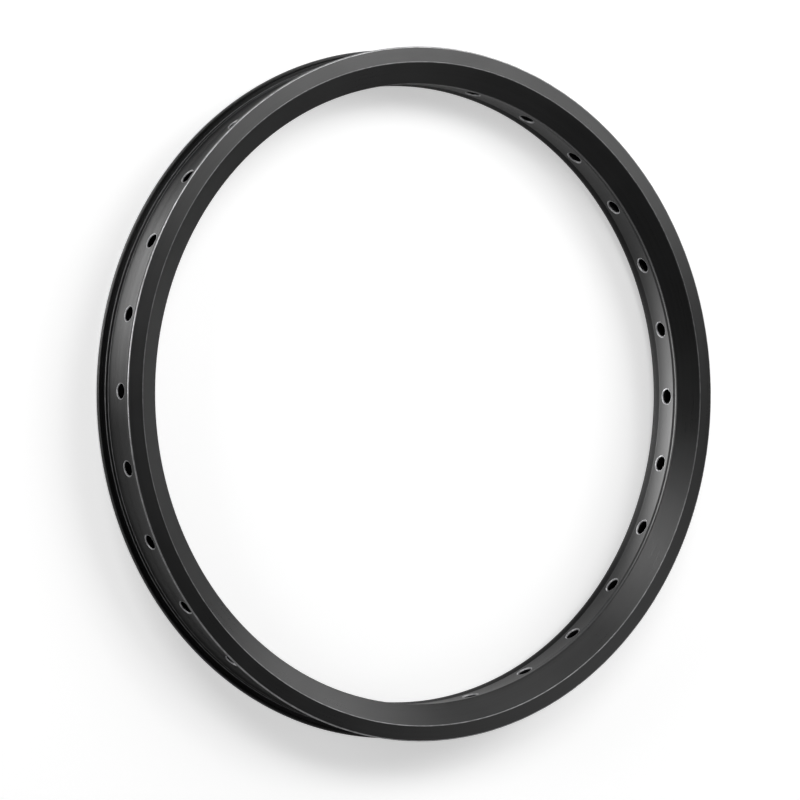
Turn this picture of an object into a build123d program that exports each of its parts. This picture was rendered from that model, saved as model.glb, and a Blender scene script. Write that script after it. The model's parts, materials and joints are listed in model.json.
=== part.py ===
"""A bare double-wall bicycle rim: one hollow aluminium hoop, drilled for its spokes and one valve.

The wheel's axis is +Z and the origin is the middle of the hoop, so the rim lies flat on its side.
All lengths are millimetres and all angles are degrees. The drilled walls are arched about the origin,
so that every hole, which points at the origin, meets them in a true circle.
"""
import os
from math import asin, degrees, hypot, sqrt

from build123d import *

# Tyre side
BEAD_SEAT_DIAMETER = 406.0   # where the tyre's bead sits: the common 20 inch size
FLANGE_HEIGHT = 4.8          # from the bead seat out to the rim's edge
FLANGE_HALF_WIDTH = 18.6     # middle plane to the outside of the flange at the rim's edge
FLANGE_WALL = 1.8            # thickness of each flange under its hook
HOOK_REACH = 0.5             # how far the hook stands in over the tyre's bead
HOOK_HEIGHT = 1.7            # of the hook, measured in from the rim's edge
EDGE_CHAMFER = 0.5           # at both sides of the rim's edge
SEAT_WIDTH = 3.6             # of each bead seat, from the flange towards the middle
WELL_DEPTH = 0.9             # the middle of the tyre well below the bead seats
WELL_HALF_WIDTH = 6.0        # of the floor of the tyre well
WELL_WALL = 1.3              # the wall between the tyre well and the hollow

# Sides
CREASE_DROP = 9.3            # from the rim's edge in to the crease, where the rim is widest
CREASE_HALF_WIDTH = 19.8     # middle plane to the crease
SIDE_WALL = 1.4              # of the tapered wall between the crease and the rib

# Hub side
RIM_DEPTH = 22.0             # from the rim's edge in to the tops of the ribs
RIB_HALF_SPACING = 11.6      # middle plane to the middle of each rib's top
RIB_WIDTH = 1.5              # of each rib's top, before its shoulder is cut
RIB_CHAMFER = 0.86           # the rib's shoulder, cut back this far along its top and along the tapered wall
BED_RECESS = 1.2             # the spoke bed below the tops of the ribs
BED_HALF_WIDTH = 7.2         # of the bed between the ribs
BED_WALL = 2.4               # of the bed, which carries the spokes

# Holes, all on the middle plane and pointing at the origin
SPOKE_HOLES = 28
SPOKE_HOLE_DIAMETER = 8.6
FIRST_HOLE_ANGLE = -0.9      # of the first spoke hole, from +X towards +Y
VALVE_HOLE_DIAMETER = 8.5
VALVE_GAP = 20               # the valve hole is midway between this spoke hole, counted from 0, and the next
DRILL_CLEARANCE = 2.0        # how far a drill starts and ends clear of the walls

# Distances from the wheel's axis, on the middle plane where a wall is arched
seat_radius = BEAD_SEAT_DIAMETER / 2
edge_radius = seat_radius + FLANGE_HEIGHT
well_radius = seat_radius - WELL_DEPTH
crease_radius = edge_radius - CREASE_DROP
rib_radius = edge_radius - RIM_DEPTH
bed_radius = rib_radius + BED_RECESS

# Distances from the middle plane
flange_inside = FLANGE_HALF_WIDTH - FLANGE_WALL
hook_inside = flange_inside - HOOK_REACH
seat_inside = flange_inside - SEAT_WIDTH
rib_outside = RIB_HALF_SPACING + RIB_WIDTH / 2
rib_inside = RIB_HALF_SPACING - RIB_WIDTH / 2

# The tapered wall's run in the section, from the rib out to the crease
taper_r = crease_radius - rib_radius
taper_z = CREASE_HALF_WIDTH - rib_outside
taper_length = hypot(taper_r, taper_z)


def arched(radius, height):
    """The distance from the axis, at this height, of a wall that is arched about the origin."""
    return sqrt(radius**2 - height**2)


def section(corners, top, floor):
    """A face in the XZ plane, closed by two walls that are arched about the origin.

    corners are one side's (radius, height), from the top wall's end to the floor's end, and the other side
    mirrors them. top and floor are the arched walls' radii.
    """
    side = Plane.XZ * Polyline(*corners)
    arches = []
    for radius, (_, height) in ((top, corners[0]), (floor, corners[-1])):
        reach = degrees(asin(height / radius))
        arches.append(Plane.XZ * CenterArc((0, 0), radius, -reach, 2 * reach))
    return make_face(Curve() + [side, mirror(side, about=Plane.XY), *arches])


def skin():
    """The outside of the rim's section: tyre well, flange, leaning side, tapered wall, rib and spoke bed."""
    shoulder = RIB_CHAMFER / taper_length
    corners = [
        (arched(well_radius, WELL_HALF_WIDTH), WELL_HALF_WIDTH),
        (seat_radius, seat_inside),
        (seat_radius, flange_inside),
        (edge_radius - HOOK_HEIGHT - HOOK_REACH, flange_inside),
        (edge_radius - HOOK_HEIGHT, hook_inside),
        (edge_radius - EDGE_CHAMFER, hook_inside),
        (edge_radius, hook_inside + EDGE_CHAMFER),
        (edge_radius, FLANGE_HALF_WIDTH - EDGE_CHAMFER),
        (edge_radius - EDGE_CHAMFER, FLANGE_HALF_WIDTH),
        (crease_radius, CREASE_HALF_WIDTH),
        (rib_radius + shoulder * taper_r, rib_outside + shoulder * taper_z),
        (rib_radius, rib_outside - RIB_CHAMFER),
        (rib_radius, rib_inside),
        (arched(bed_radius, BED_HALF_WIDTH), BED_HALF_WIDTH),
    ]
    return section(corners, well_radius, bed_radius)


def hollow():
    """The closed space between the tyre well and the spoke bed, one wall's thickness inside the skin."""
    top = well_radius - WELL_WALL
    floor = bed_radius + BED_WALL
    half_width = CREASE_HALF_WIDTH - FLANGE_WALL
    # the tapered wall's inner line is its outer line, moved in by the wall
    slope = taper_z / taper_r
    shift = SIDE_WALL * taper_length / taper_r
    shoulder = crease_radius + (half_width - CREASE_HALF_WIDTH + shift) / slope
    floor_half_width = CREASE_HALF_WIDTH - shift + slope * (floor - crease_radius)
    corners = [
        (arched(top, half_width), half_width),
        (shoulder, half_width),
        (arched(floor, floor_half_width), floor_half_width),
    ]
    return section(corners, top, floor)


def drill(diameter):
    """A drill on the Z axis, from below the spoke bed to above the tyre well.

    It is cut from a longer one that starts at the origin, which keeps its axis exactly on the arches' centre.
    """
    length = well_radius + DRILL_CLEARANCE
    bit = Cylinder(diameter / 2, length, align=(Align.CENTER, Align.CENTER, Align.MIN))
    return split(bit, Plane.XY.offset(bed_radius - DRILL_CLEARANCE), keep=Keep.TOP)


def radial(tool, angle):
    """The tool turned from +Z to point out from the wheel's axis at this angle."""
    return Rot(0, 0, angle) * Rot(0, 90, 0) * tool


def rim():
    """The hoop with every hole drilled; its seam lies midway between two holes."""
    pitch = 360 / SPOKE_HOLES
    seam = FIRST_HOLE_ANGLE + pitch / 2
    hoop = Rot(0, 0, seam) * revolve(skin() - hollow(), axis=Axis.Z)
    spoke_drill = drill(SPOKE_HOLE_DIAMETER)
    valve_drill = drill(VALVE_HOLE_DIAMETER)
    drills = [radial(spoke_drill, FIRST_HOLE_ANGLE + k * pitch) for k in range(SPOKE_HOLES)]
    drills.append(radial(valve_drill, FIRST_HOLE_ANGLE + (VALVE_GAP + 0.5) * pitch))
    return hoop - drills


os.makedirs("parts", exist_ok=True)
export_step(rim(), "parts/rim.step")
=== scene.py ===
"""Dresses the bare bicycle rim: one smooth drilled hoop in black satin anodising, lying on a pale floor.

Lengths are metres and the wheel's axis is +Z, as in the frame. A profile is a list of
(distance from the axis, height, rounding) for the upper side of the rim, and the lower side mirrors it.
"""

import json
from collections import namedtuple
from functools import reduce
from math import atan2, cos, hypot, pi, radians, sin

import bpy
import numpy as np
from mathutils import Matrix, Vector


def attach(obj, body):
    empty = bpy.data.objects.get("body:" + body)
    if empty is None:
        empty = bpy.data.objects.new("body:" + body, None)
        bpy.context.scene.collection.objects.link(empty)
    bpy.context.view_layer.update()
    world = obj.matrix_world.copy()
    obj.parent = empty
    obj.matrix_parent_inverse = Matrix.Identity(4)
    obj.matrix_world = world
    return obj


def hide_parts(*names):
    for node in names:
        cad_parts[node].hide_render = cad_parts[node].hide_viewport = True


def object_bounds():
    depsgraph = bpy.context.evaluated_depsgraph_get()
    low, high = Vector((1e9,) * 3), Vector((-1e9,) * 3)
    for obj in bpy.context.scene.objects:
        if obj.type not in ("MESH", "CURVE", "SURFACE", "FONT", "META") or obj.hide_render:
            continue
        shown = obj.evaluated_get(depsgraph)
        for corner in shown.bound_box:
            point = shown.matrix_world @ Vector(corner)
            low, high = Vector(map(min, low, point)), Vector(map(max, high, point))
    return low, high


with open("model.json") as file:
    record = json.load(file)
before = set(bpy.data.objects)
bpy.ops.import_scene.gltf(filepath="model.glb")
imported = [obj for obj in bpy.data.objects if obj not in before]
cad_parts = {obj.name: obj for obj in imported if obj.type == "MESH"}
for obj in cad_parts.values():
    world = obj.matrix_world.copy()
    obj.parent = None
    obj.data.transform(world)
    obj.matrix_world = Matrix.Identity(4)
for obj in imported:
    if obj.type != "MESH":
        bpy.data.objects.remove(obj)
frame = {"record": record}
cad_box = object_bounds()

# Distances from the wheel's axis; those of the drilled walls, which are arched, are on the middle plane
EDGE_RADIUS = 0.2078
SEAT_RADIUS = 0.2030
WELL_RADIUS = 0.2021
CREASE_RADIUS = 0.1985
BED_RADIUS = 0.1870
RIB_RADIUS = 0.1858

# Distances from the middle plane
CREASE_HALF_WIDTH = 0.0198
FLANGE_HALF_WIDTH = 0.0186
FLANGE_INSIDE = 0.0168
HOOK_INSIDE = 0.0163
SEAT_INSIDE = 0.0132
RIB_OUTSIDE = 0.01235
RIB_INSIDE = 0.01085
BED_HALF_WIDTH = 0.0072
WELL_HALF_WIDTH = 0.0060

# Hook and walls
HOOK_HEIGHT = 0.0017
FLANGE_WALL = 0.0018
WELL_WALL = 0.0013
BED_WALL = 0.0024
SIDE_WALL = 0.0014

# Rounding of the section's bends and edges
SEAT_EDGE = 0.0004
SEAT_CORNER = 0.0006
HOOK_BEND = 0.0004
FLANGE_EDGE = 0.0006
CREASE_EDGE = 0.0006
RIB_EDGE = 0.0013
RIB_SHOULDER = 0.0010
BED_BEND = 0.0040
WELL_BEND = 0.0015       # how far from its bend the well's floor starts to rise
HOLLOW_CORNER = 0.0010

# Hole mouths, and half the width of each drilled wall that is laid out round its holes
BED_MOUTH = 0.00080
WELL_MOUTH = 0.00065
BED_STRIP = 0.0064
WELL_STRIP = 0.0126

# Fineness of the mesh
STEPS_AROUND = 9         # along half the space from one spoke hole to the next
BED_STEPS = 6            # across the strip of the bed
WELL_STEPS = 12          # across the strip of the well
MOUTH_STEPS = 4          # along the rounded mouth of a hole
SKIN_STEPS = 4           # along each rounded corner of the skin
HOLLOW_STEPS = 2         # along each rounded corner of the hollow
RINGS = (0.0, 0.12, 0.42, 1.0)   # from the edge of a hole, 0, to the rim of its patch of wall, 1
WELD = 1e-7              # points closer than this are one point

# Camera, as seen from over the hoop's -X side with +Y up in the picture
CAMERA_TILT = 32.79      # degrees from the wheel's axis
CAMERA_ROLL = -0.50
CAMERA_DISTANCE = 2.909
CAMERA_LENS = 217.6      # millimetres, and so is the sensor's width
CAMERA_SENSOR = 36.0
AIM_RIGHT = -0.0084      # where the camera looks, from the origin
AIM_UP = -0.0035

# Finishes: the order of the rim's materials, linear colours, roughness and shine
SATIN, SHADED_GROOVE, CUT_EDGE = 0, 1, 2
DARK_ANODISING = (0.0030, 0.0030, 0.0032, 1)
PALE_ANODISING = (0.0055, 0.0055, 0.0058, 1)
# the pale colour of rubbed edges, which is also used for the painted highlight lines
RUBBED_METAL_AND_HIGHLIGHT = (0.60, 0.60, 0.61, 1)
DARK_CUT = (0.28, 0.28, 0.29, 1)
PALE_CUT = (0.52, 0.52, 0.53, 1)
SATIN_ROUGHNESS = 0.33
SATIN_SHINE = 0.50
GROOVE_SHADE_SHINE = 0.13        # painted shade: less shine in the bends between the spoke bed and the ribs
ANODISING_IOR = 1.5
CUT_ROUGHNESS = (0.38, 0.52)
CUT_METALLIC = 0.5

# Rubbed edges, which also carry painted highlight lines: how far the black is off, from 0 to 1, and where
# that starts and stops fading, from each edge
OUTER_LIP_WEAR_AND_HIGHLIGHT = 0.85
INNER_LIP_WEAR_AND_HIGHLIGHT = 0.08
CREASE_WEAR_AND_HIGHLIGHT = 0.35
# the bead seats' edge and corner lines are painted highlights, paler but not bare metal
SEAT_EDGE_HIGHLIGHT = 0.35
SEAT_CORNER_HIGHLIGHT = 0.28
RIB_WEAR_AND_HIGHLIGHT = 0.04
OUTER_LIP_FADE = (0.0003, 0.0007)
INNER_LIP_FADE = (0.0004, 0.0008)
LIP_DEPTH_FADE = (0.0008, 0.0004)   # below the rim's edge
LINE_START = 0.0001      # a thin line of wear and painted highlight is full to here on each side
LINE_REACH = 0.0005      # and gone here
CORNER_REACH = 0.0004    # or here in the bead seats' corners
LEAST_WEAR_AND_HIGHLIGHT = 0.7         # what is left of the wear and painted highlight in the least worn patches
METAL_FROM = 0.3         # wear and painted highlight from which an edge is bare metal

# Patterns in the finishes: repeats in a metre, and how far each changes the roughness and the relief
GRAIN = 2600
CLOUDS = 26
STREAKS_ACROSS = 900.0
STREAKS_ALONG = 7.0
WEAR_AND_HIGHLIGHT_PATCHES = 240
DRILL_MARKS = 3200
CUT_PATCHES = 300
GRAIN_ROUGHNESS = 0.03
STREAK_ROUGHNESS = 0.015
CLOUD_ROUGHNESS = 0.02
STREAK_RELIEF = 0.15     # beside the grain's, which is 1
RELIEF_DEPTH = 0.00004
ANODISING_RELIEF = 0.35
CUT_RELIEF = 0.3
NOISE_SPAN = (0.3, 0.7)      # where most of a noise's values lie
PATCH_SPAN = (0.35, 0.65)    # a narrower span, for patches with clearer edges
SUM_SPAN = (0.7, 1.3)        # the same for two noises added up

# Studio: each light's name, direction from the origin, size and power
LIGHT_DISTANCE = 1.8
LIGHTS = [
    ("upper_left_box", (-0.30, 0.49, 0.82), 0.63, 8.6),
    ("top_box", (0.36, 0.42, 0.83), 0.80, 8.4),
    ("right_box", (0.72, 0.36, 0.60), 0.80, 5.4),
    ("low_right_box", (0.80, 0.57, 0.20), 0.90, 5.8),
    ("lower_right_box", (0.70, -0.32, 0.64), 0.80, 1.8),
    ("low_left_box", (-0.95, 0.18, 0.27), 0.80, 11.0),
]
BRIGHT_SIDE = (0.6, -0.6, -0.5)   # where the light from all round is brightest, and how bright at both ends
BRIGHT_END = 0.27
DIM_END = 0.08
BRIGHT_SPAN = 0.8        # how far to each side of the middle the brightness changes
FLOOR_SIZE = 6.0
FLOOR_COLOUR = (0.8, 0.8, 0.8, 1)
FLOOR_ROUGHNESS = 0.9
FLOOR_GLOW = 0.45        # added to the floor that the camera sees, so that it comes out white
FLOOR_FAR = (0.4, 2.0)   # distances from the axis between which that glow rises to 1
FLOOR_MIRROR = 0.09      # added to the floor that the rim mirrors
INNER_GLOW = 9.2         # more of that in a patch inside the hoop, which the spoke bed mirrors
OUTER_GLOW = 3.8         # and in a patch outside the hoop, which the tyre well mirrors
PATCH_MIDDLE = 0.021     # both patches lie along a line across the hoop: its +Y at the origin
PATCH_SLOPE = -0.25      # and how that changes along +X
PATCH_REACH = 0.10       # and how far to each side of it they fade out
INNER_RISE = (0.156, 0.164)     # distances from the axis between which each patch brightens and fades
INNER_FALL = (0.165, 0.178)
OUTER_RISE = (0.2088, 0.2105)
OUTER_FALL = (0.2125, 0.2185)
INNER_SIDE = (-0.05, 0.05)      # and the stretch of X where it sets in or ends
OUTER_SIDE = (-0.10, 0.0)
FAINT_GLOW = 0.1         # what is left of a patch's glow on its side away from the rim


def rounded(corners, steps):
    """Points and normals along a profile whose inner corners are arcs tangent to both of their runs.

    With d0 and d1 the runs before and after a corner, turn the angle between them and n0 the normal to the
    right of d0, the arc starts at corner - d0 * rounding * tan(|turn| / 2), and its normal turns evenly from
    n0 through turn. Its points are centre + side * rounding * normal, where side is +1 on a left turn.
    """
    corners = np.array(corners)
    place = corners[:, :2]
    rounding = corners[1:-1, 2]
    run = np.diff(place, axis=0)
    run /= np.linalg.norm(run, axis=1, keepdims=True)
    run_normal = np.stack([run[:, 1], -run[:, 0]], axis=1)
    before, after = run[:-1], run[1:]
    cross = before[:, 0] * after[:, 1] - before[:, 1] * after[:, 0]
    turn = np.arctan2(cross, np.sum(before * after, axis=1))
    side = np.sign(turn)
    reach = rounding * np.tan(np.abs(turn) / 2)
    start = place[1:-1] - before * reach[:, None]
    centre = start - run_normal[:-1] * (side * rounding)[:, None]
    angle = turn[:, None] * np.linspace(0, 1, steps + 1)
    n0 = run_normal[:-1, None, :]
    normal = np.stack([
        n0[..., 0] * np.cos(angle) - n0[..., 1] * np.sin(angle),
        n0[..., 0] * np.sin(angle) + n0[..., 1] * np.cos(angle),
    ], axis=2)
    arc = centre[:, None, :] + (side * rounding)[:, None, None] * normal
    points = np.concatenate([place[:1], arc.reshape(-1, 2), place[-1:]])
    normals = np.concatenate([run_normal[:1], normal.reshape(-1, 2), run_normal[-1:]])
    return points, normals


def revolved(profile, angles):
    """A profile carried round the axis: (r, z) at the angle a is (r cos a, r sin a, z), normals too."""
    return [
        np.stack([
            np.cos(angles)[:, None] * pair[None, :, 0],
            np.sin(angles)[:, None] * pair[None, :, 0],
            np.broadcast_to(pair[None, :, 1], (len(angles), len(pair))),
        ], axis=2)
        for pair in profile
    ]


def mirrored(grid):
    """The same grid on the other side of the middle plane: z becomes -z in points and normals."""
    return [part * (1, 1, -1) for part in grid]


def turned(grid, angle):
    """The grid turned about the axis by this angle."""
    matrix = np.array([[cos(angle), sin(angle), 0], [-sin(angle), cos(angle), 0], [0, 0, 1]])
    return [part @ matrix for part in grid]


def wall_distance(wall, height):
    """The distance from the axis of a drilled wall at this height h.

    It is middle + arch h^2 + rise (far + near - 2 start) / 2, where far and near are the lengths of
    (h + WELL_HALF_WIDTH, WELL_BEND) and (h - WELL_HALF_WIDTH, WELL_BEND), and start is both at h = 0:
    an arch that rises evenly, by a soft bend, on both sides of the well's floor.
    """
    far = np.hypot(height + WELL_HALF_WIDTH, WELL_BEND)
    near = np.hypot(height - WELL_HALF_WIDTH, WELL_BEND)
    start = hypot(WELL_HALF_WIDTH, WELL_BEND)
    return wall.middle + wall.arch * np.square(height) + wall.rise * ((far + near) / 2 - start)


def on_wall(wall, angle, height):
    """Points and normals of a drilled wall; the normal is (1, -slope) in its section, turned to facing.

    The slope at height h is 2 arch h + rise ((h + w) / far + (h - w) / near) / 2, where w is the well's
    half width, and far and near are as in wall_distance.
    """
    distance = wall_distance(wall, height)
    above, below = height + WELL_HALF_WIDTH, height - WELL_HALF_WIDTH
    turn = above / np.hypot(above, WELL_BEND) + below / np.hypot(below, WELL_BEND)
    slope = 2 * wall.arch * height + wall.rise * turn / 2
    ahead = wall.facing / np.sqrt(1 + slope**2)
    points = np.stack([distance * np.cos(angle), distance * np.sin(angle), height], axis=-1)
    normals = np.stack([ahead * np.cos(angle), ahead * np.sin(angle), -ahead * slope], axis=-1)
    return [points, normals]


def patch_rim(wall, half_angle):
    """The rim of a patch of wall as (angle, height), once round it from its lowest corner."""
    along = np.linspace(-half_angle, half_angle, STEPS_AROUND + 1)[:-1]
    up = np.linspace(-wall.strip, wall.strip, wall.steps + 1)[:-1]
    side, end = np.full(wall.steps, half_angle), np.full(STEPS_AROUND, wall.strip)
    return np.concatenate([along, side, -along, -side]), np.concatenate([-end, up, end, -up])


def hole_edge(wall, turn, mouth):
    """The edge of a round hole about the X axis, as (angle, height) on a wall, at the angles turn round it.

    Its height is mouth sin turn, and its angle's sine is mouth cos turn over the wall's distance.
    """
    height = mouth * np.sin(turn)
    return np.arcsin(mouth * np.cos(turn) / wall_distance(wall, height)), height


def drilled_patch(wall, half_angle, turn, mouth):
    """A patch of wall with a hole: angle and height go evenly from the hole's edge to the patch's rim."""
    edge, rim_line = hole_edge(wall, turn, mouth), patch_rim(wall, half_angle)
    angle, height = (
        inner[:, None] + (outer - inner)[:, None] * np.array(RINGS) for inner, outer in zip(edge, rim_line)
    )
    return on_wall(wall, angle, height)


def plain_patch(wall, half_angle):
    """A patch of wall with no hole: even steps of angle and of height."""
    angle = np.linspace(-half_angle, half_angle, STEPS_AROUND + 1)
    height = np.linspace(-wall.strip, wall.strip, wall.steps + 1)
    return on_wall(wall, *np.meshgrid(angle, height, indexing="ij"))


def hole_mouth(wall, turn, bore, rounding):
    """The rounded mouth of a hole about the X axis: a quarter round from the wall down into the bore.

    At the angle a of the quarter, the ring's radius is bore + rounding (1 - sin a), its depth under the wall
    is rounding (1 - cos a), and its normal is cos a out of the wall and sin a towards the hole's middle.
    """
    quarter = np.linspace(0, pi / 2, MOUTH_STEPS + 1)
    radius = bore + rounding * (1 - np.sin(quarter))
    depth = rounding * (1 - np.cos(quarter))
    edge, _ = on_wall(wall, *hole_edge(wall, turn, bore + rounding))
    around = np.stack([np.zeros_like(turn), np.cos(turn), np.sin(turn)], axis=1)
    ahead = np.array([wall.facing, 0.0, 0.0])
    level = edge[:, None, 0] - wall.facing * depth
    points = around[:, None, :] * radius[:, None]
    points[..., 0] = level
    normals = ahead * np.cos(quarter)[:, None] - around[:, None, :] * np.sin(quarter)[:, None]
    return [points, normals]


def bore_tube(outer_edge, inner_edge, turn):
    """The bore from a hole's mouth to the wall's inner face; its normals point at the hole's middle."""
    around = np.stack([np.zeros_like(turn), np.cos(turn), np.sin(turn)], axis=1)
    points = np.stack([outer_edge, inner_edge], axis=1)
    return [points, np.stack([-around, -around], axis=1)]


def hole(bore, half_angle):
    """One radial hole about the X axis and the walls round it, as a list of (grid, closed, finish)."""
    grids = []
    for outside, inside, rounding in ((bed, hollow_floor, BED_MOUTH), (well, hollow_top, WELL_MOUTH)):
        angle, height = patch_rim(outside, half_angle)
        turn = np.arctan2(height, outside.middle * np.sin(angle))
        mouth = hole_mouth(outside, turn, bore, rounding)
        inner_edge, _ = on_wall(inside, *hole_edge(inside, turn, bore))
        grids += [
            (drilled_patch(outside, half_angle, turn, bore + rounding), True, SATIN),
            (mouth, True, CUT_EDGE),
            (bore_tube(mouth[0][:, -1], inner_edge, turn), True, SATIN),
            (drilled_patch(inside, half_angle, turn, bore), True, SATIN),
        ]
    return grids


def plain_walls(half_angle):
    """The four drilled walls where they have no hole, about the X axis."""
    return [(plain_patch(wall, half_angle), False, SATIN) for wall in (bed, hollow_floor, hollow_top, well)]


def skin_profile():
    """The outside of the section's upper half, from the tyre well over the flange and side to the spoke bed.

    With it comes the finish of each step along it: satin, and satin with painted shade, less shine, between
    the rib and the bed.
    """
    profile = rounded([
        (wall_distance(well, WELL_STRIP), WELL_STRIP, 0),
        (SEAT_RADIUS, SEAT_INSIDE, SEAT_EDGE),
        (SEAT_RADIUS, FLANGE_INSIDE, SEAT_CORNER),
        (EDGE_RADIUS - HOOK_HEIGHT - FLANGE_INSIDE + HOOK_INSIDE, FLANGE_INSIDE, HOOK_BEND),
        (EDGE_RADIUS - HOOK_HEIGHT, HOOK_INSIDE, HOOK_BEND),
        (EDGE_RADIUS, HOOK_INSIDE, FLANGE_EDGE),
        (EDGE_RADIUS, FLANGE_HALF_WIDTH, FLANGE_EDGE),
        (CREASE_RADIUS, CREASE_HALF_WIDTH, CREASE_EDGE),
        (RIB_RADIUS, RIB_OUTSIDE, RIB_EDGE),
        (RIB_RADIUS, RIB_INSIDE, RIB_SHOULDER),
        (wall_distance(bed, BED_HALF_WIDTH), BED_HALF_WIDTH, BED_BEND),
        (wall_distance(bed, BED_STRIP), BED_STRIP, 0),
    ], SKIN_STEPS)
    points = profile[0]
    distance, height = (points[:-1] + points[1:]).T / 2
    painted_shade = (distance < BED_RADIUS) & (height > BED_HALF_WIDTH) & (height < RIB_INSIDE)
    return profile, np.where(painted_shade, SHADED_GROOVE, SATIN)


def hollow_profile():
    """The upper half of the hollow, one wall's thickness inside the skin, and its finish."""
    half_width = CREASE_HALF_WIDTH - FLANGE_WALL
    run_r = CREASE_RADIUS - RIB_RADIUS
    run_z = CREASE_HALF_WIDTH - RIB_OUTSIDE
    slope = run_z / run_r
    shift = SIDE_WALL * hypot(run_r, run_z) / run_r
    shoulder = CREASE_RADIUS + (half_width - CREASE_HALF_WIDTH + shift) / slope
    floor_half_width = CREASE_HALF_WIDTH - shift + slope * (hollow_floor.middle - CREASE_RADIUS)
    return rounded([
        (wall_distance(hollow_floor, BED_STRIP), BED_STRIP, 0),
        (wall_distance(hollow_floor, floor_half_width), floor_half_width, HOLLOW_CORNER),
        (shoulder, half_width, HOLLOW_CORNER),
        (wall_distance(hollow_top, half_width), half_width, HOLLOW_CORNER),
        (wall_distance(hollow_top, WELL_STRIP), WELL_STRIP, 0),
    ], HOLLOW_STEPS), SATIN


def quads_of(grid, closed, first):
    """The grid's four-cornered faces as point numbers from first on, turned the way its normals face."""
    points, normals = grid
    number = first + np.arange(points.shape[0] * points.shape[1]).reshape(points.shape[:2])
    if closed:
        number = np.concatenate([number, number[:1]])
    corners = [number[:-1, :-1], number[1:, :-1], number[1:, 1:], number[:-1, 1:]]
    quads = np.stack(corners, axis=2).reshape(-1, 4)
    flat = points.reshape(-1, 3)
    corner = flat[quads - first]
    looks = np.cross(corner[:, 2] - corner[:, 0], corner[:, 3] - corner[:, 1])
    wanted = normals.reshape(-1, 3)[quads - first].sum(axis=1)
    if np.sum(looks * wanted) < 0:
        quads = quads[:, ::-1]
    return quads


def joined_mesh(name, grids):
    """One mesh from a list of (grid, closed, finish): points that meet are welded, and normals are kept.

    A finish is one for the whole grid, or one for each step across it.
    """
    points, normals, faces, finishes = [], [], [], []
    first = 0
    for grid, closed, finish in grids:
        quads = quads_of(grid, closed, first)
        points.append(grid[0].reshape(-1, 3))
        normals.append(grid[1].reshape(-1, 3))
        faces.append(quads)
        across = grid[0].shape[1] - 1
        finishes.append(np.broadcast_to(finish, (len(quads) // across, across)).reshape(-1))
        first += len(points[-1])
    points, normals, faces = (np.concatenate(part) for part in (points, normals, faces))
    _, index, welded = np.unique(np.round(points / WELD), axis=0, return_index=True, return_inverse=True)
    mesh = bpy.data.meshes.new(name)
    mesh.from_pydata(points[index], [], welded.reshape(-1)[faces])
    mesh.polygons.foreach_set("material_index", np.concatenate(finishes).astype(np.int32))
    mesh.polygons.foreach_set("use_smooth", np.ones(len(faces), dtype=bool))
    mesh.update()
    corner_normals = normals[faces.reshape(-1)]
    mesh.normals_split_custom_set(corner_normals / np.linalg.norm(corner_normals, axis=1, keepdims=True))
    return mesh


def rim_mesh():
    """The whole rim: skin and hollow carried round the axis, and the drilled walls laid out between them."""
    bores = [mount for mount in frame["record"]["mounts"] if mount["kind"] == "bore"]
    angles = [atan2(mount["axis"][1], mount["axis"][0]) for mount in bores]
    spoke_bores = [mount for mount in bores if mount["name"].startswith("spoke")]
    half_sector = pi / len(spoke_bores) / 2
    sectors = 2 * len(spoke_bores)
    around = angles[0] - half_sector + 2 * pi * np.arange(sectors * STEPS_AROUND) / (sectors * STEPS_AROUND)
    grids = []
    for profile, finish in (skin_profile(), hollow_profile()):
        side = revolved(profile, around)
        grids += [(side, True, finish), (mirrored(side), True, finish)]
    bore_sectors = [round((angle - angles[0]) / (2 * half_sector)) % sectors for angle in angles]
    drilled = dict(zip(bore_sectors, bores))
    for sector in range(sectors):
        mount = drilled.get(sector)
        walls = hole(mount["dims"]["r_mm"] / 1000, half_sector) if mount else plain_walls(half_sector)
        turn = angles[0] + sector * 2 * half_sector
        grids += [(turned(grid, turn), closed, finish) for grid, closed, finish in walls]
    return joined_mesh("rim_hoop", grids)


def new_material(name):
    """A material with its node tree and its Principled shader."""
    material = bpy.data.materials.new(name)
    material.use_nodes = True
    return material, material.node_tree, material.node_tree.nodes["Principled BSDF"]


def add_node(tree, kind, values=None, **settings):
    """A node of this kind; values go to its inputs by name or number, linked where they are sockets."""
    node = tree.nodes.new(kind)
    for name, value in settings.items():
        setattr(node, name, value)
    for key, value in (values or {}).items():
        if isinstance(value, bpy.types.NodeSocket):
            tree.links.new(value, node.inputs[key])
        else:
            node.inputs[key].default_value = value
    return node


def calc(tree, operation, first, second=0.0):
    """The result of one arithmetic node."""
    return add_node(tree, "ShaderNodeMath", {0: first, 1: second}, operation=operation).outputs[0]


def together(tree, operation, values):
    """The values taken one after another through one kind of arithmetic node."""
    return reduce(lambda first, second: calc(tree, operation, first, second), values)


def ramp(tree, value, low, high, start, stop):
    """The value carried from low..high to start..stop by a smooth step, and held at both ends."""
    values = {0: value, 1: low, 2: high, 3: start, 4: stop}
    return add_node(tree, "ShaderNodeMapRange", values, interpolation_type="SMOOTHSTEP").outputs[0]


def line(tree, value, middle, reach, strength):
    """A thin line where the value is the middle: strength on it, fading to nothing at reach to each side."""
    off = calc(tree, "ABSOLUTE", calc(tree, "SUBTRACT", value, middle))
    return ramp(tree, off, LINE_START, reach, strength, 0.0)


def noise(tree, vector, scale, detail):
    """Noise from 0 to 1 on these coordinates."""
    values = {"Vector": vector, "Scale": scale, "Detail": detail}
    return add_node(tree, "ShaderNodeTexNoise", values).outputs[0]


def blend(tree, share, first, second):
    """The first colour going over to the second as share goes from 0 to 1."""
    values = {"Factor": share, "A": first, "B": second}
    return add_node(tree, "ShaderNodeMix", values, data_type="RGBA").outputs["Result"]


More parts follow.
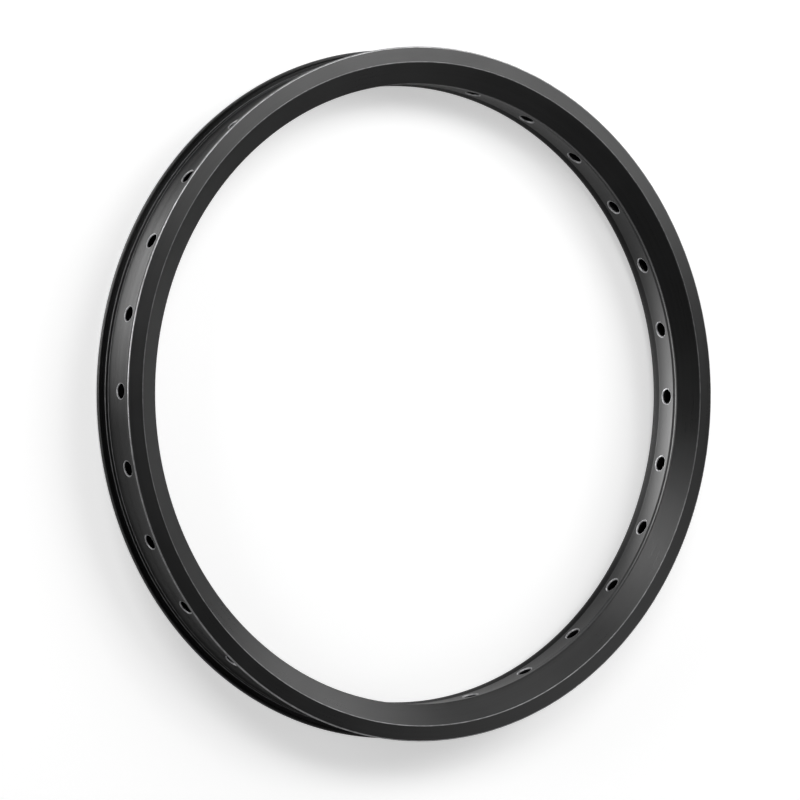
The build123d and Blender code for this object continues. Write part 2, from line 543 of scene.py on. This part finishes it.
def object_place(tree):
    """The Object coordinates, their x, y and z, and the distance from the axis."""
    place = add_node(tree, "ShaderNodeTexCoord").outputs["Object"]
    x, y, z = add_node(tree, "ShaderNodeSeparateXYZ", {0: place}).outputs
    across = add_node(tree, "ShaderNodeCombineXYZ", {0: x, 1: y}).outputs[0]
    radius = add_node(tree, "ShaderNodeVectorMath", {0: across}, operation="LENGTH").outputs["Value"]
    return place, x, y, z, radius


def rubbed_and_highlit_edges(tree, place, radius, height):
    """How far the black is rubbed off or painted paler as a highlight, and how far that bares the metal.

    The metal shows on the flanges' lips, the creases and the ribs, where the paleness is both wear and
    painted highlight; the bead seats' edges and corners are only paler, as painted highlight lines.
    """
    from_outside = calc(tree, "SUBTRACT", FLANGE_HALF_WIDTH, height)
    from_inside = calc(tree, "SUBTRACT", height, HOOK_INSIDE)
    outer_lip = ramp(tree, from_outside, *OUTER_LIP_FADE, OUTER_LIP_WEAR_AND_HIGHLIGHT, 0.0)
    inner_lip = ramp(tree, from_inside, *INNER_LIP_FADE, INNER_LIP_WEAR_AND_HIGHLIGHT, 0.0)
    at_lip = ramp(tree, radius, *(EDGE_RADIUS - depth for depth in LIP_DEPTH_FADE), 0.0, 1.0)
    seat_edge = line(tree, height, SEAT_INSIDE, LINE_REACH, SEAT_EDGE_HIGHLIGHT)
    seat_corner = line(tree, height, FLANGE_INSIDE - SEAT_CORNER / 2, CORNER_REACH, SEAT_CORNER_HIGHLIGHT)
    at_seat = line(tree, radius, SEAT_RADIUS, LINE_REACH, 1.0)
    bare = together(tree, "MAXIMUM", [
        calc(tree, "MULTIPLY", at_lip, calc(tree, "MAXIMUM", outer_lip, inner_lip)),
        line(tree, radius, CREASE_RADIUS, LINE_REACH, CREASE_WEAR_AND_HIGHLIGHT),
        ramp(tree, radius, RIB_RADIUS, RIB_RADIUS + LINE_REACH, RIB_WEAR_AND_HIGHLIGHT, 0.0),
    ])
    seat_highlights = calc(tree, "MULTIPLY", at_seat, calc(tree, "MAXIMUM", seat_edge, seat_corner))
    patchy = ramp(tree, noise(tree, place, WEAR_AND_HIGHLIGHT_PATCHES, 3.0), *PATCH_SPAN, LEAST_WEAR_AND_HIGHLIGHT, 1.0)
    wear_and_highlight = calc(tree, "MULTIPLY", calc(tree, "MAXIMUM", bare, seat_highlights), patchy)
    return wear_and_highlight, ramp(tree, bare, 0.0, METAL_FROM, 0.0, 1.0)


def black_anodising(name, shine):
    """Black anodising on a drawn hoop: fine blasted grain, faint streaks along the hoop, paler edges that are
    partly wear and partly painted highlight.
    """
    material, tree, shader = new_material(name)
    place, x, y, z, radius = object_place(tree)
    height = calc(tree, "ABSOLUTE", z)
    grain = noise(tree, place, GRAIN, 2.0)
    cloud = noise(tree, place, CLOUDS, 3.0)
    # the streaks change quickly across the section and slowly along the hoop
    section_place = add_node(tree, "ShaderNodeCombineXYZ", {
        0: calc(tree, "MULTIPLY", radius, STREAKS_ACROSS),
        1: calc(tree, "MULTIPLY", z, STREAKS_ACROSS),
        2: calc(tree, "MULTIPLY", x, STREAKS_ALONG),
    }).outputs[0]
    along = calc(tree, "MULTIPLY", y, STREAKS_ALONG)
    streak_values = {"Vector": section_place, "W": along, "Scale": 1.0, "Detail": 2.0}
    streak = add_node(tree, "ShaderNodeTexNoise", streak_values, noise_dimensions="4D").outputs[0]
    wear_and_highlight, metal = rubbed_and_highlit_edges(tree, place, radius, height)
    uneven = ramp(tree, calc(tree, "ADD", cloud, streak), *SUM_SPAN, 0.0, 1.0)
    black = blend(tree, uneven, DARK_ANODISING, PALE_ANODISING)
    rough = together(tree, "ADD", [
        ramp(tree, grain, *NOISE_SPAN, SATIN_ROUGHNESS - GRAIN_ROUGHNESS, SATIN_ROUGHNESS + GRAIN_ROUGHNESS),
        ramp(tree, streak, *NOISE_SPAN, -STREAK_ROUGHNESS, STREAK_ROUGHNESS),
        ramp(tree, cloud, *NOISE_SPAN, -CLOUD_ROUGHNESS, CLOUD_ROUGHNESS),
    ])
    relief = calc(tree, "ADD", grain, calc(tree, "MULTIPLY", streak, STREAK_RELIEF))
    bump_values = {"Strength": ANODISING_RELIEF, "Distance": RELIEF_DEPTH, "Height": relief}
    bump = add_node(tree, "ShaderNodeBump", bump_values)
    # paler edges: rubbed bare metal on lips, creases and ribs, together with painted highlight lines
    tree.links.new(blend(tree, wear_and_highlight, black, RUBBED_METAL_AND_HIGHLIGHT), shader.inputs["Base Color"])
    tree.links.new(metal, shader.inputs["Metallic"])
    tree.links.new(rough, shader.inputs["Roughness"])
    tree.links.new(bump.outputs[0], shader.inputs["Normal"])
    shader.inputs["IOR"].default_value = ANODISING_IOR
    shader.inputs["Specular IOR Level"].default_value = shine
    return material


def cut_metal():
    """The thin cut edge round each hole, where the drill left paler metal with fine marks."""
    material, tree, shader = new_material("cut_aluminium_edge")
    place = add_node(tree, "ShaderNodeTexCoord").outputs["Object"]
    marks = noise(tree, place, DRILL_MARKS, 2.0)
    patch = ramp(tree, noise(tree, place, CUT_PATCHES, 2.0), *PATCH_SPAN, 0.0, 1.0)
    bump_values = {"Strength": CUT_RELIEF, "Distance": RELIEF_DEPTH, "Height": marks}
    bump = add_node(tree, "ShaderNodeBump", bump_values)
    tree.links.new(blend(tree, patch, DARK_CUT, PALE_CUT), shader.inputs["Base Color"])
    tree.links.new(ramp(tree, marks, *NOISE_SPAN, *CUT_ROUGHNESS), shader.inputs["Roughness"])
    tree.links.new(bump.outputs[0], shader.inputs["Normal"])
    shader.inputs["Metallic"].default_value = CUT_METALLIC
    return material


def floor_material():
    """Pale studio floor that keeps the shadow; a glow lifts it to white for the camera and in reflections.

    Two soft patches of the floor beside the rim glow more in reflections, as low strip lights would.
    """
    material, tree, shader = new_material("studio_floor")
    shader.inputs["Base Color"].default_value = FLOOR_COLOUR
    shader.inputs["Roughness"].default_value = FLOOR_ROUGHNESS
    shader.inputs["Specular IOR Level"].default_value = 0.0
    shader.inputs["Emission Color"].default_value = (1, 1, 1, 1)
    _, x, y, _, radius = object_place(tree)
    middle = calc(tree, "ADD", calc(tree, "MULTIPLY", x, PATCH_SLOPE), PATCH_MIDDLE)
    inner = together(tree, "MULTIPLY", [
        ramp(tree, radius, *INNER_RISE, FAINT_GLOW, 1.0),
        ramp(tree, radius, *INNER_FALL, 1.0, 0.0),
        ramp(tree, x, *INNER_SIDE, 0.0, INNER_GLOW),
    ])
    outer = together(tree, "MULTIPLY", [
        ramp(tree, radius, *OUTER_RISE, 0.0, 1.0),
        ramp(tree, radius, *OUTER_FALL, 1.0, FAINT_GLOW),
        ramp(tree, x, *OUTER_SIDE, OUTER_GLOW, 0.0),
    ])
    on_line = line(tree, y, middle, PATCH_REACH, 1.0)
    patches = calc(tree, "MULTIPLY", on_line, calc(tree, "ADD", inner, outer))
    ray = add_node(tree, "ShaderNodeLightPath").outputs
    seen = calc(tree, "MULTIPLY", ray["Is Camera Ray"], ramp(tree, radius, *FLOOR_FAR, FLOOR_GLOW, 1.0))
    reflected = calc(tree, "MAXIMUM", ray["Is Glossy Ray"], ray["Is Transmission Ray"])
    reflected = calc(tree, "MULTIPLY", reflected, calc(tree, "ADD", patches, FLOOR_MIRROR))
    tree.links.new(calc(tree, "ADD", seen, reflected), shader.inputs["Emission Strength"])
    return material


def add_floor(height):
    """A flat sheet of studio floor under the rim."""
    half = FLOOR_SIZE / 2
    corners = [(-half, -half, height), (half, -half, height), (half, half, height), (-half, half, height)]
    mesh = bpy.data.meshes.new("studio_floor")
    mesh.from_pydata(corners, [], [(0, 1, 2, 3)])
    mesh.materials.append(floor_material())
    floor = bpy.data.objects.new("studio_floor", mesh)
    bpy.context.scene.collection.objects.link(floor)


def add_light(name, direction, size, power):
    """A square soft light that looks at the origin from this direction."""
    lamp = bpy.data.lights.new(name, "AREA")
    lamp.shape = "SQUARE"
    lamp.size = size
    lamp.energy = power
    light = bpy.data.objects.new(name, lamp)
    light.location = Vector(direction).normalized() * LIGHT_DISTANCE
    light.rotation_mode = "QUATERNION"
    light.rotation_quaternion = (-light.location).to_track_quat("-Z", "Y")
    bpy.context.scene.collection.objects.link(light)


def add_world():
    """Dim soft light from all round, a little brighter on one side, and white where the camera sees it."""
    world = bpy.data.worlds.new("studio")
    world.use_nodes = True
    tree = world.node_tree
    background = tree.nodes["Background"]
    background.inputs["Color"].default_value = (1, 1, 1, 1)
    direction = add_node(tree, "ShaderNodeTexCoord").outputs["Generated"]
    lean = add_node(tree, "ShaderNodeVectorMath", {0: direction, 1: BRIGHT_SIDE}, operation="DOT_PRODUCT")
    level = ramp(tree, lean.outputs["Value"], -BRIGHT_SPAN, BRIGHT_SPAN, DIM_END, BRIGHT_END)
    ray = add_node(tree, "ShaderNodeLightPath").outputs
    tree.links.new(ramp(tree, ray["Is Camera Ray"], 0.0, 1.0, level, 1.0), background.inputs["Strength"])
    bpy.context.scene.world = world


def add_camera():
    """The camera, tilted from the wheel's axis towards -X, with +Y up in the picture."""
    tilt, roll = radians(CAMERA_TILT), radians(CAMERA_ROLL)
    back = Vector((-sin(tilt), 0, cos(tilt)))
    right = Vector((cos(tilt), 0, sin(tilt)))
    up = Vector((0, 1, 0))
    place = CAMERA_DISTANCE * back
    ahead = (AIM_RIGHT * right + AIM_UP * up - place).normalized()
    level = ahead.cross(up).normalized()
    upright = level.cross(ahead)
    across = cos(roll) * level + sin(roll) * upright
    above = cos(roll) * upright - sin(roll) * level
    data = bpy.data.cameras.new("camera")
    data.sensor_width = CAMERA_SENSOR
    data.lens = CAMERA_LENS
    camera = bpy.data.objects.new("camera", data)
    axes = Matrix((across, above, -ahead)).transposed().to_4x4()
    camera.matrix_world = Matrix.Translation(place) @ axes
    bpy.context.scene.collection.objects.link(camera)
    bpy.context.scene.camera = camera


# The drilled walls: distance from the axis on the middle plane, arch and rise as in wall_distance, half width
# and steps of the strip round the holes, and facing, which is +1 away from the axis and -1 towards it
Wall = namedtuple("Wall", "middle arch rise strip steps facing")
bed_arch = -1 / (2 * BED_RADIUS)
well_arch = -1 / (2 * WELL_RADIUS)
bed = Wall(BED_RADIUS, bed_arch, 0.0, BED_STRIP, BED_STEPS, -1)
hollow_floor = Wall(BED_RADIUS + BED_WALL, bed_arch, 0.0, BED_STRIP, BED_STEPS, 1)
hollow_top = Wall(WELL_RADIUS - WELL_WALL, well_arch, 0.0, WELL_STRIP, WELL_STEPS, -1)
unit_rise = wall_distance(Wall(0.0, 0.0, 1.0, WELL_STRIP, WELL_STEPS, 1), SEAT_INSIDE)
well_rise = (SEAT_RADIUS - WELL_RADIUS - well_arch * SEAT_INSIDE**2) / unit_rise
well = Wall(WELL_RADIUS, well_arch, well_rise, WELL_STRIP, WELL_STEPS, 1)

rim = bpy.data.objects.new("rim_hoop", rim_mesh())
rim.data.materials.append(black_anodising("black_satin_anodising", SATIN_SHINE))
# the satin with less shine, as painted shade in the grooves between the ribs and the spoke bed
rim.data.materials.append(black_anodising("black_anodising_painted_shade", GROOVE_SHADE_SHINE))
rim.data.materials.append(cut_metal())
bpy.context.scene.collection.objects.link(rim)
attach(rim, "root")
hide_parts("rim")

add_floor(cad_box[0].z)
add_world()
for light in LIGHTS:
    add_light(*light)
add_camera()
bpy.context.scene.view_settings.view_transform = "Standard"
